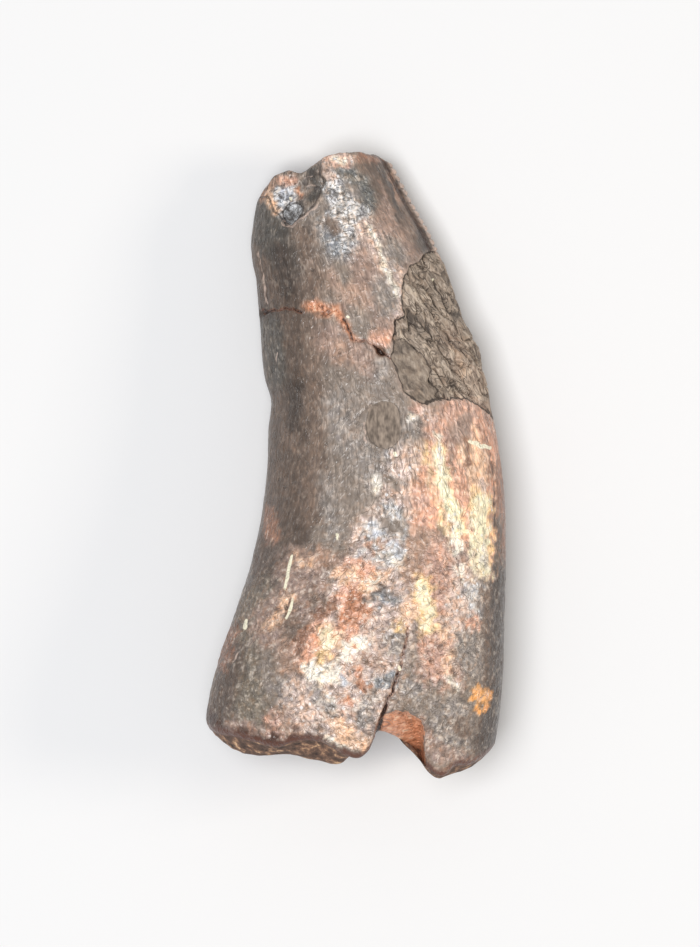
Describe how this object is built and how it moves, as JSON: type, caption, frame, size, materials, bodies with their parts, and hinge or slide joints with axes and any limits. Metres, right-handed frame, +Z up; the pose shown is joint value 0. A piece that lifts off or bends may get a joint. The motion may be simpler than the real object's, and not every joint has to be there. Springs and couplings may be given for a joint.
{
  "type": "fossil tyrannosaur tooth",
  "caption": "Curved fossil tooth crown lying on its side, with a serrated cutting edge near its worn tip, a rough spalled patch, cracks and a notched broken base.",
  "frame": {"origin": "centre of the tooth's box in plan, on the surface that the tooth rests on", "axes": "+Y from the broken base towards the tip, +X towards the convex cutting edge, +Z up from the rest surface to the side that faces up"},
  "size_m": [0.0202, 0.042, 0.0132],
  "materials": {
    "fossil_enamel": "semi-gloss brown fossil enamel, mottled grey, orange and cream"
  },
  "bodies": {
    "root": {"tooth": "fossil_enamel"}
  },
  "joints": []
}
